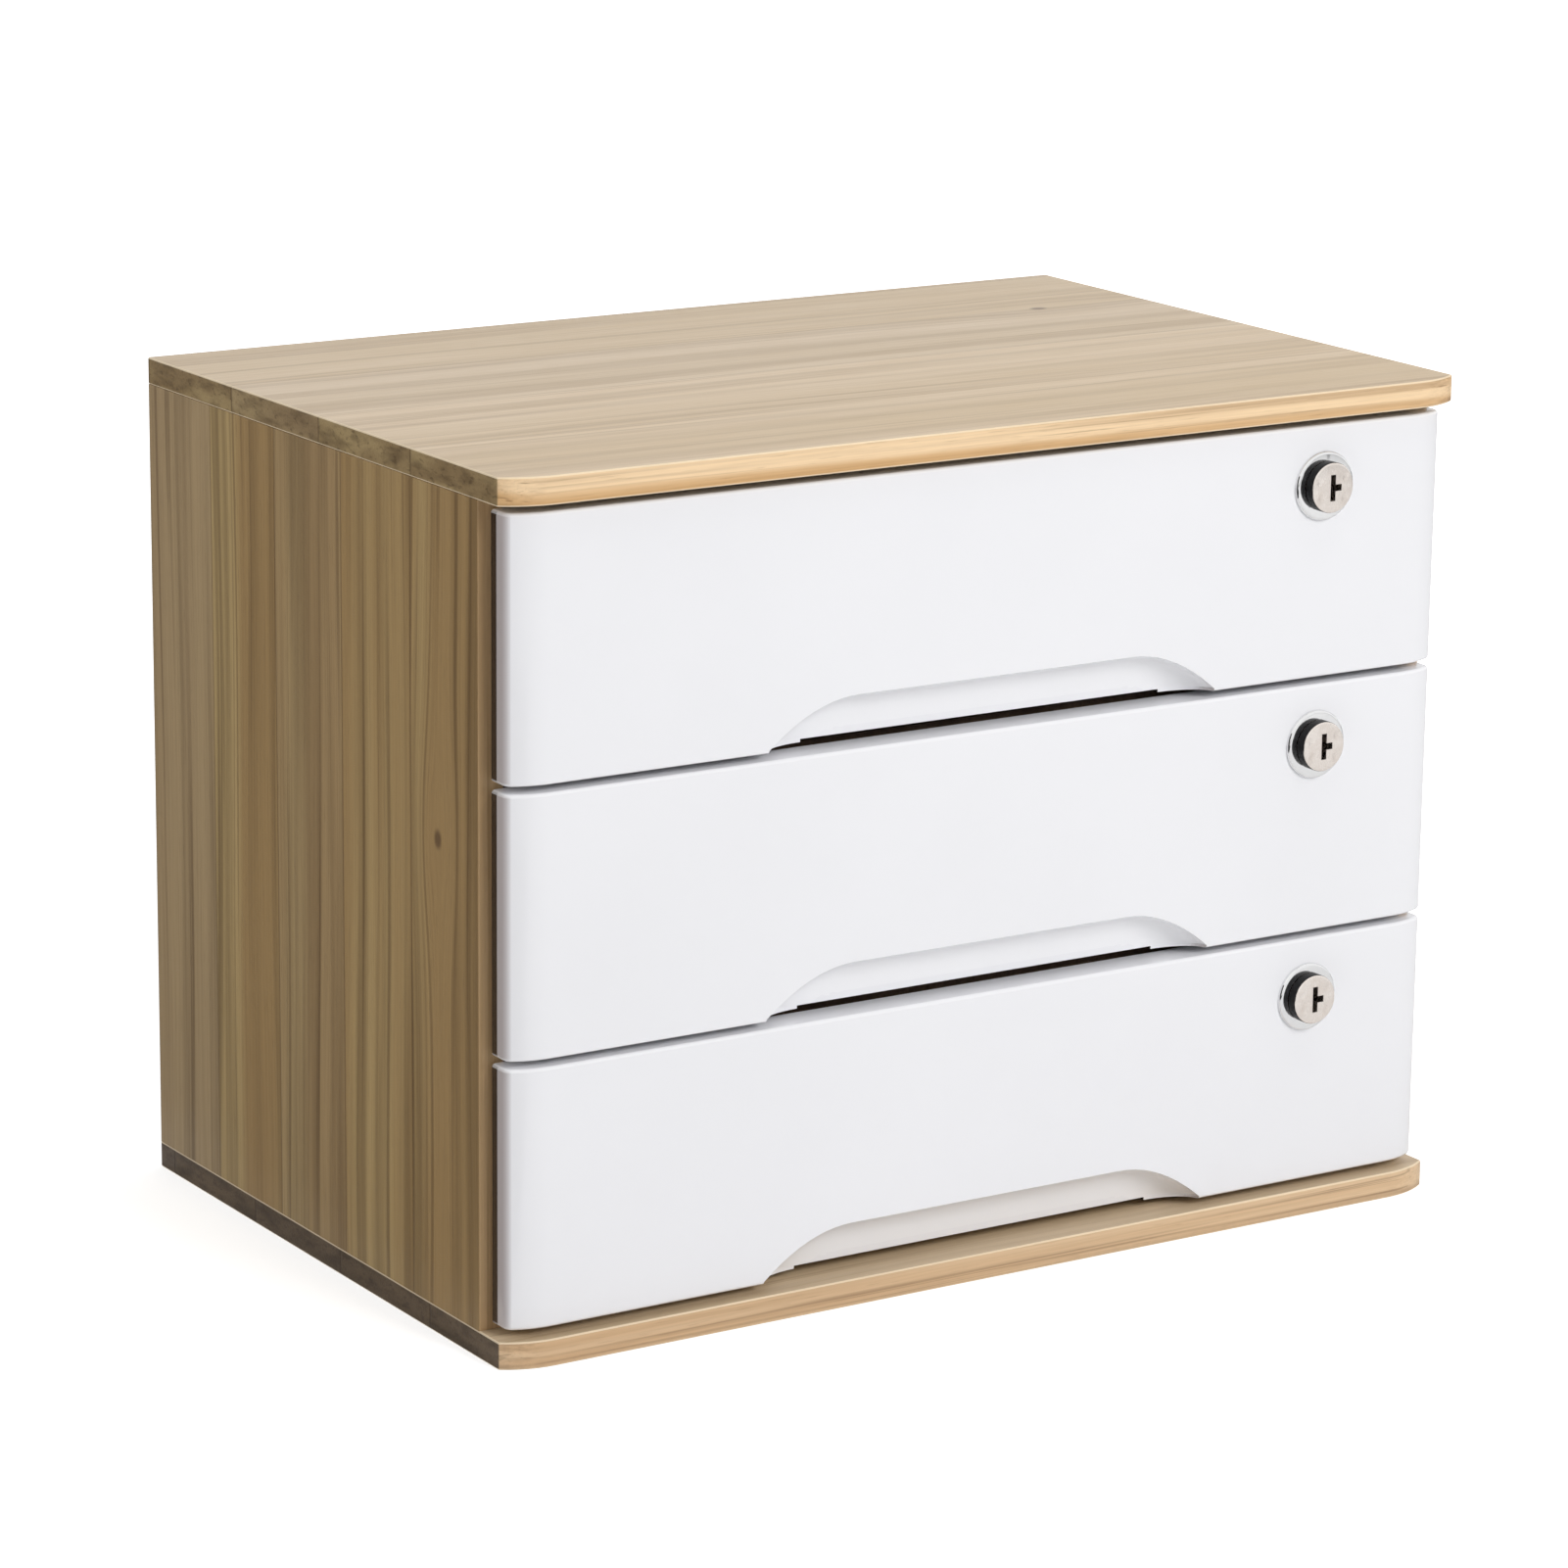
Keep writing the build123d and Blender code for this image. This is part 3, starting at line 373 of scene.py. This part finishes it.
# Each dimple's x and z from the plug's axis.
DIMPLES = ((-0.0052, 0.0022), (-0.0046, -0.0030), (0.0050, 0.0034), (0.0048, -0.0036))
DIMPLE_FADE = (0.0015, 0.0004)  # from a dimple's rim to its floor
CROSS_ARM = (0.00055, 0.00035)  # half width of an arm, outside and inside its soft edge
CROSS_REACH = (0.0020, 0.0017)  # how far an arm goes, in the same way


def thread_relief(net, place):
    """Turned thread on the housing's body, behind the drawer front."""
    along = net.split(place)["Y"]
    wave = net.math("SINE", net.math("MULTIPLY", along, 2 * math.pi / THREAD_PITCH))
    return net.math("MULTIPLY", wave, net.math("GREATER_THAN", along, THREAD_START))


def dimple_mask(net, place):
    """Four shallow marks where the plug's face was pressed."""
    total = 0.0
    for x, z in DIMPLES:
        away = net.vector_math("SUBTRACT", place, (x, 0.0, z))
        flat = net.vector_math("MULTIPLY", away, (1.0, 0.0, 1.0))
        mark = net.spread(net.vector_math("LENGTH", flat), *DIMPLE_FADE, smooth=True)
        total = net.math("ADD", total, mark)
    return net.math("MULTIPLY", total, -1.0)


def cross_recess(net, place):
    """Mask of the crossed driver slot in a small screw's head; it sets the slot's relief and its painted
    shade.
    """
    parts = net.split(place)
    wide = net.math("ABSOLUTE", parts["X"])
    tall = net.math("ABSOLUTE", parts["Z"])
    arm = net.spread(net.math("MINIMUM", wide, tall), *CROSS_ARM)
    reach = net.spread(net.math("MAXIMUM", wide, tall), *CROSS_REACH)
    return net.math("MULTIPLY", arm, reach)


def cross_relief(net, place):
    """The crossed slot as a height below the head."""
    return net.math("MULTIPLY", cross_recess(net, place), -1.0)


def lacquer(name, color, roughness):
    """Dark lacquer with dust-fine unevenness."""
    material, net, shader = new_material(name)
    place = net.attribute("own_place", "Vector")
    dust = net.noise(place, 1500.0, 3.0, 0.6)
    brighter = tuple(value * 2.2 for value in color)
    net.feed(shader.inputs["Base Color"], net.mix(net.spread(dust, 0.5, 0.8), color, brighter))
    net.feed(shader.inputs["Roughness"], net.spread(dust, 0.3, 0.7, roughness - 0.05, roughness + 0.08))
    net.feed(shader.inputs["Normal"], net.bump(dust, 0.00002, 0.3))
    shader.inputs["Specular IOR Level"].default_value = 0.12
    return material


# ---- finishes -----------------------------------------------------------------------------------------
LYING = (0, 0, 0)              # grain along X
UPRIGHT = (0, math.pi / 2, 0)  # grain along Z
# painted shadow: behind this the fronts' ends are black, for the shade in the gap at their rear
FRONT_RIM_Y = -0.1066          # the fronts' ends are black behind this, as their gap is in the photograph
RIM_SOFTNESS = 0.0006
ONE_STAVE = 0.9                # wider than any board, so that no seam shows

figure = wood_figure()
TOP_WOOD = board_wood(
    "top_board_wood", figure, LYING, shift=(0.0, 0.0, 0.0), knot=(0.1348, 0.0603, 0.280),
    face=TOP_FACE, front=BAND, end=SAWN, seams=0.060, sway=0.012)
BASE_WOOD = board_wood(
    "bottom_board_wood", figure, LYING, shift=(1.1, 0.01, 0.02), knot=(1.05, 0.01, 0.020),
    face=TOP_FACE, front=BASE_BAND, end=BASE_SAWN, seams=0.060, sway=0.012)
# The side boards' broad faces look to the sides, as sawn ends do, so their tones are given twice.
SIDE_WOOD = board_wood(
    "side_board_wood", figure, UPRIGHT, shift=(0, 0.0142, 0.0), knot=(0.1607, -0.0621, 0.180),
    face=SIDE_FACE, front=EDGE, end=SIDE_FACE, seams=0.045, sway=0.014)
PANEL_WOOD = board_wood(
    "back_panel_wood", figure, LYING, shift=(0.7, 0.2, 0.4), knot=(0.6, 0.25, 0.5),
    face=PLY, front=PLY, end=PLY, seams=ONE_STAVE)
DOWEL_WOOD = board_wood(
    "dowel_wood", figure, UPRIGHT, shift=(0.2, 0.1, 0.3), knot=(0, 0, 0),
    face=PLY, front=PLY, end=SAWN, seams=ONE_STAVE)
# near-black hardboard: partly the shelves' own dark fibre, partly painted shade for the gaps between
# drawers
SHELF_BOARD_PAINTED_SHADE = hardboard("shelf_hardboard_painted_shade", light=(0.115, 0.07, 0.04), deep=(0.05, 0.028, 0.015))
FRONT_WHITE = moulded_plastic(
    "front_white", (0.87, 0.87, 0.895), roughness=0.22, coat=0.5, grain_depth=0.00001, rim=FRONT_RIM_Y)
TRAY_WHITE = moulded_plastic(
    "tray_white", (0.80, 0.80, 0.81), roughness=0.42, coat=0.0, grain_depth=0.00005)
CHROME = metal(
    "lock_chrome", (0.84, 0.84, 0.84), (0.78, 0.78, 0.79), roughness=0.10,
    height=thread_relief, distance=0.0003)
NICKEL = metal(
    "plug_nickel", (0.86, 0.80, 0.75), (0.76, 0.68, 0.62), roughness=0.26,
    height=dimple_mask, distance=0.00016)
BLACK = lacquer("plug_black_band", (0.010, 0.010, 0.011), roughness=0.36)
ZINC = metal("zinc_steel", (0.60, 0.61, 0.62), (0.50, 0.51, 0.53), roughness=0.34)
SCREW_ZINC = metal(
    "screw_zinc", (0.62, 0.63, 0.64), (0.50, 0.51, 0.53), roughness=0.30,
    height=cross_relief, distance=0.0006, dark=cross_recess)


# ---- pieces -------------------------------------------------------------------------------------------
MERGE_DISTANCE = 1e-6
SMOOTH_ANGLE = math.radians(35)
PLUG_EDGE = 0.0079                  # a plug's faces that look outwards are black beyond this radius
ROUND_SLOPES = (0.1, 0.97)          # a face that looks up or down by between these shares is a rounded edge
FRONT_GAIN, FRONT_LOSS = 1.3, 0.1   # how squarely a front edge looks forwards
END_GAIN, END_LOSS = 2.0, 1.0       # how squarely a sawn end looks to a side


def islands(work):
    """Groups of joined vertices."""
    left = set(work.verts)
    while left:
        group, front = set(), [left.pop()]
        while front:
            vert = front.pop()
            group.add(vert)
            for edge in vert.link_edges:
                other = edge.other_vert(vert)
                if other in left:
                    left.discard(other)
                    front.append(other)
        yield group


def measure_own_place(work):
    """Stores each vertex's place from the middle of its own solid."""
    layer = work.verts.layers.float_vector.new("own_place")
    for group in islands(work):
        low = Vector(min(vert.co[axis] for vert in group) for axis in range(3))
        high = Vector(max(vert.co[axis] for vert in group) for axis in range(3))
        middle = (low + high) / 2
        for vert in group:
            vert[layer] = vert.co - middle


def held(value):
    """The value, held between 0 and 1."""
    return min(1.0, max(0.0, value))


def mark_edges(work):
    """Stores how far each face is a rounded edge, looks forwards or looks to a side, as a sawn end does."""
    rounded = work.faces.layers.float.new("round_edge")
    front = work.faces.layers.float.new("front_edge")
    end = work.faces.layers.float.new("sawn_end")
    for face in work.faces:
        normal = face.normal
        face[rounded] = 1.0 if ROUND_SLOPES[0] < abs(normal.z) < ROUND_SLOPES[1] else 0.0
        face[front] = held(-normal.y * FRONT_GAIN - FRONT_LOSS)
        face[end] = held(abs(normal.x) * END_GAIN - END_LOSS)


def dressed(node, material, outer=None):
    """Makes the smoothly shaded copy that stands for a CAD node. outer goes on a plug's outer side."""
    source = frame["nodes"][node]
    mesh = source.data.copy()
    mesh.materials.clear()
    work = bmesh.new()
    work.from_mesh(mesh)
    bmesh.ops.remove_doubles(work, verts=work.verts, dist=MERGE_DISTANCE)
    measure_own_place(work)
    mark_edges(work)
    place = work.verts.layers.float_vector["own_place"]
    for edge in work.edges:
        edge.smooth = len(edge.link_faces) == 2 and edge.calc_face_angle(0.0) < SMOOTH_ANGLE
    for face in work.faces:
        face.smooth = True
        reach = min(Vector((vert[place].x, vert[place].z)).length for vert in face.verts)
        outside = reach > PLUG_EDGE and abs(face.normal.y) < 0.5
        face.material_index = 1 if outer and outside else 0
    work.to_mesh(mesh)
    work.free()
    for finish in filter(None, (material, outer)):
        mesh.materials.append(finish)
    piece = bpy.data.objects.new(node + "_finish", mesh)
    bpy.context.scene.collection.objects.link(piece)
    body = body_of(source)
    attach(piece, body[0] if body else "cabinet")
    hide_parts(node)


FINISHES = {
    "top_board": TOP_WOOD,
    "bottom_board": BASE_WOOD,
    "side_board": SIDE_WOOD,
    "back_panel": PANEL_WOOD,
    "cabinet_dowels": DOWEL_WOOD,
    "_drawer_front": FRONT_WHITE,
    "_drawer_tray": TRAY_WHITE,
    "_lock_housing": CHROME,
    "_lock_plug": NICKEL,
    "_front_screws": SCREW_ZINC,
    "strike_screws": SCREW_ZINC,
}

for node in sorted(frame["nodes"]):
    if node.startswith("shelf"):
        finish = SHELF_BOARD_PAINTED_SHADE
    else:
        finish = next((value for ending, value in FINISHES.items() if node.endswith(ending)), ZINC)
    dressed(node, finish, BLACK if finish == NICKEL else None)


# ---- stage, light and camera --------------------------------------------------------------------------
FLOOR_REACH = 6.0
FLOOR_FADE = (0.3, 0.9)      # distances from the middle between which the floor turns white to the eye
FLOOR_GLOW = (0.60, 1.0)
FLAG_LEFT, FLAG_RIGHT = -1.1, -0.2
FLAG_FRONT, FLAG_BACK = -1.0, 1.8
FLAG_LOW, FLAG_HIGH = 0.004, 0.8
WORLD_LIGHT, WORLD_SEEN = 0.27, 1.0
# Each lamp's place, the point it looks at, its width and height, and its power in watts.
LAMPS = {
    "overhead": ((0.25, 0.1, 1.7), (0, 0, 0.1), 1.5, 1.4, 9.5),
    "key": ((0.5, -1.9, 1.35), (0, 0, 0.12), 1.0, 0.8, 27.5),
    "left": ((-1.0, 0.1, 0.5), (-0.18, 0.0, 0.14), 0.9, 0.6, 2.5),
}


def card(name, *sheets):
    """Stage piece of flat sheets, each through four corners."""
    work = bmesh.new()
    for corners in sheets:
        work.faces.new([work.verts.new(corner) for corner in corners])
    mesh = bpy.data.meshes.new(name)
    work.to_mesh(mesh)
    work.free()
    piece = bpy.data.objects.new(name, mesh)
    bpy.context.scene.collection.objects.link(piece)
    return piece


def stage_floor():
    """Pale floor that keeps a soft shadow near the part and fades to white away from it."""
    far = FLOOR_REACH
    floor = card("floor", ((-far, -far, 0), (far, -far, 0), (far, far, 0), (-far, far, 0)))
    material, net, shader = new_material("floor_white")
    shader.inputs["Base Color"].default_value = (0.9, 0.9, 0.9, 1)
    shader.inputs["Roughness"].default_value = 1.0
    seen = net.add("ShaderNodeLightPath").outputs["Is Camera Ray"]
    shader.inputs["Emission Color"].default_value = (1, 1, 1, 1)
    away = net.vector_math("LENGTH", net.add("ShaderNodeTexCoord").outputs["Object"])
    glow = net.spread(away, *FLOOR_FADE, *FLOOR_GLOW)
    net.feed(shader.inputs["Emission Strength"], net.math("MULTIPLY", seen, glow))
    floor.data.materials.append(material)


def black_flag():
    """Dark sheets on the left, lying and standing, that only reflections show."""
    lying = ((FLAG_LEFT, FLAG_FRONT, FLAG_LOW), (FLAG_RIGHT, FLAG_FRONT, FLAG_LOW),
             (FLAG_RIGHT, FLAG_BACK, FLAG_LOW), (FLAG_LEFT, FLAG_BACK, FLAG_LOW))
    standing = ((FLAG_LEFT, FLAG_FRONT, FLAG_LOW), (FLAG_LEFT, FLAG_BACK, FLAG_LOW),
                (FLAG_LEFT, FLAG_BACK, FLAG_HIGH), (FLAG_LEFT, FLAG_FRONT, FLAG_HIGH))
    flag = card("black_flag", lying, standing)
    material, net, shader = new_material("flag_black")
    shader.inputs["Base Color"].default_value = (0.01, 0.01, 0.01, 1)
    shader.inputs["Roughness"].default_value = 1.0
    flag.data.materials.append(material)
    flag.visible_camera = False
    flag.visible_diffuse = False
    flag.visible_shadow = False


def soft_light(name, place, aim, width, height, power):
    """Rectangular lamp that no bright surface mirrors."""
    data = bpy.data.lights.new(name, "AREA")
    data.shape = "RECTANGLE"
    data.size = width
    data.size_y = height
    data.energy = power
    lamp = bpy.data.objects.new(name, data)
    lamp.location = place
    lamp.visible_glossy = False
    lamp.rotation_mode = "QUATERNION"
    lamp.rotation_quaternion = (Vector(aim) - Vector(place)).to_track_quat("-Z", "Y")
    bpy.context.scene.collection.objects.link(lamp)


def studio():
    """White surroundings for the eye, with dimmer light from them, and the soft lamps."""
    world = bpy.data.worlds.new("studio")
    bpy.context.scene.world = world
    world.use_nodes = True
    net = Net(world.node_tree)
    rays = net.add("ShaderNodeLightPath").outputs
    seen = net.math("MAXIMUM", rays["Is Camera Ray"], rays["Is Glossy Ray"])
    seen = net.math("MAXIMUM", seen, rays["Is Transmission Ray"])
    background = world.node_tree.nodes["Background"]
    background.inputs["Color"].default_value = (1, 1, 1, 1)
    net.feed(background.inputs["Strength"], net.spread(seen, 0.0, 1.0, WORLD_LIGHT, WORLD_SEEN))
    for name, values in LAMPS.items():
        soft_light(name, *values)


def photo_camera():
    """Camera that repeats the photograph's view."""
    azimuth, elevation, roll = (math.radians(v) for v in (CAMERA_AZIMUTH, CAMERA_ELEVATION, CAMERA_ROLL))
    level = Vector((math.sin(azimuth), -math.cos(azimuth), 0))
    back = level * math.cos(elevation) + Vector((0, 0, math.sin(elevation)))
    right = (-back).cross(Vector((0, 0, 1))).normalized()
    up = right.cross(-back)
    camera_x = right * math.cos(roll) + up * math.sin(roll)
    camera_y = up * math.cos(roll) - right * math.sin(roll)
    data = bpy.data.cameras.new("photo_camera")
    data.lens = CAMERA_LENS
    data.sensor_width = SENSOR_WIDTH
    camera = bpy.data.objects.new("photo_camera", data)
    turned = Matrix((camera_x, camera_y, back)).transposed().to_4x4()
    camera.matrix_world = Matrix.Translation(CAMERA_TARGET + back * CAMERA_DISTANCE) @ turned
    bpy.context.scene.collection.objects.link(camera)
    bpy.context.scene.camera = camera


stage_floor()
black_flag()
studio()
photo_camera()
bpy.context.scene.view_settings.view_transform = "Standard"
